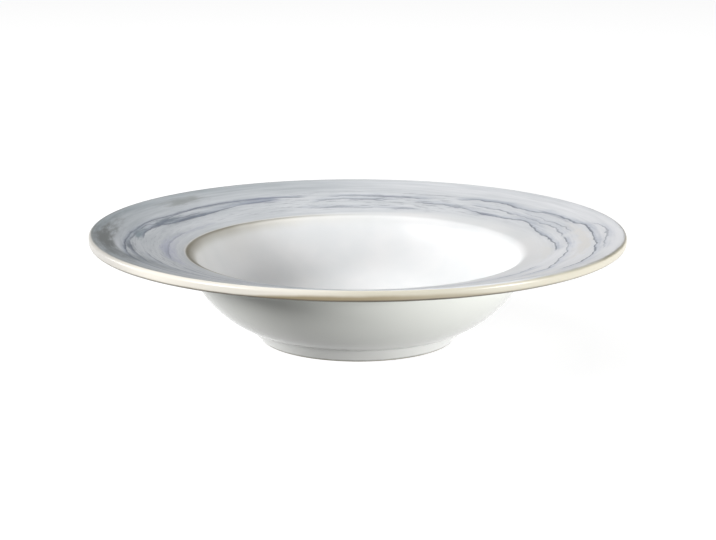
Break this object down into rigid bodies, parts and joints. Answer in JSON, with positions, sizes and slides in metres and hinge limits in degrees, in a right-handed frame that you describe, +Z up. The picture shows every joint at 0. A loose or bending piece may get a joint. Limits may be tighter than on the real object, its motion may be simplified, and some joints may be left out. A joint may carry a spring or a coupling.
{
  "type": "pasta plate",
  "caption": "Round ceramic pasta plate with a deep well, a wide gently sloping rim with a rounded lip, and a turned foot ring to stand on.",
  "frame": {"origin": "centre of the foot ring's resting face, on the table", "axes": "+Z up along the axis that the plate is turned about; +X and +Y lie on the table, with -Y towards the picture's viewer"},
  "size_m": [0.28, 0.28, 0.0588],
  "materials": {
    "plate_glaze": "satin blue-grey brushed glaze on the rim, glossy white in the well and outside, cream on the lip, bare clay under the foot ring"
  },
  "bodies": {
    "root": {"plate_body": "plate_glaze"}
  },
  "joints": []
}
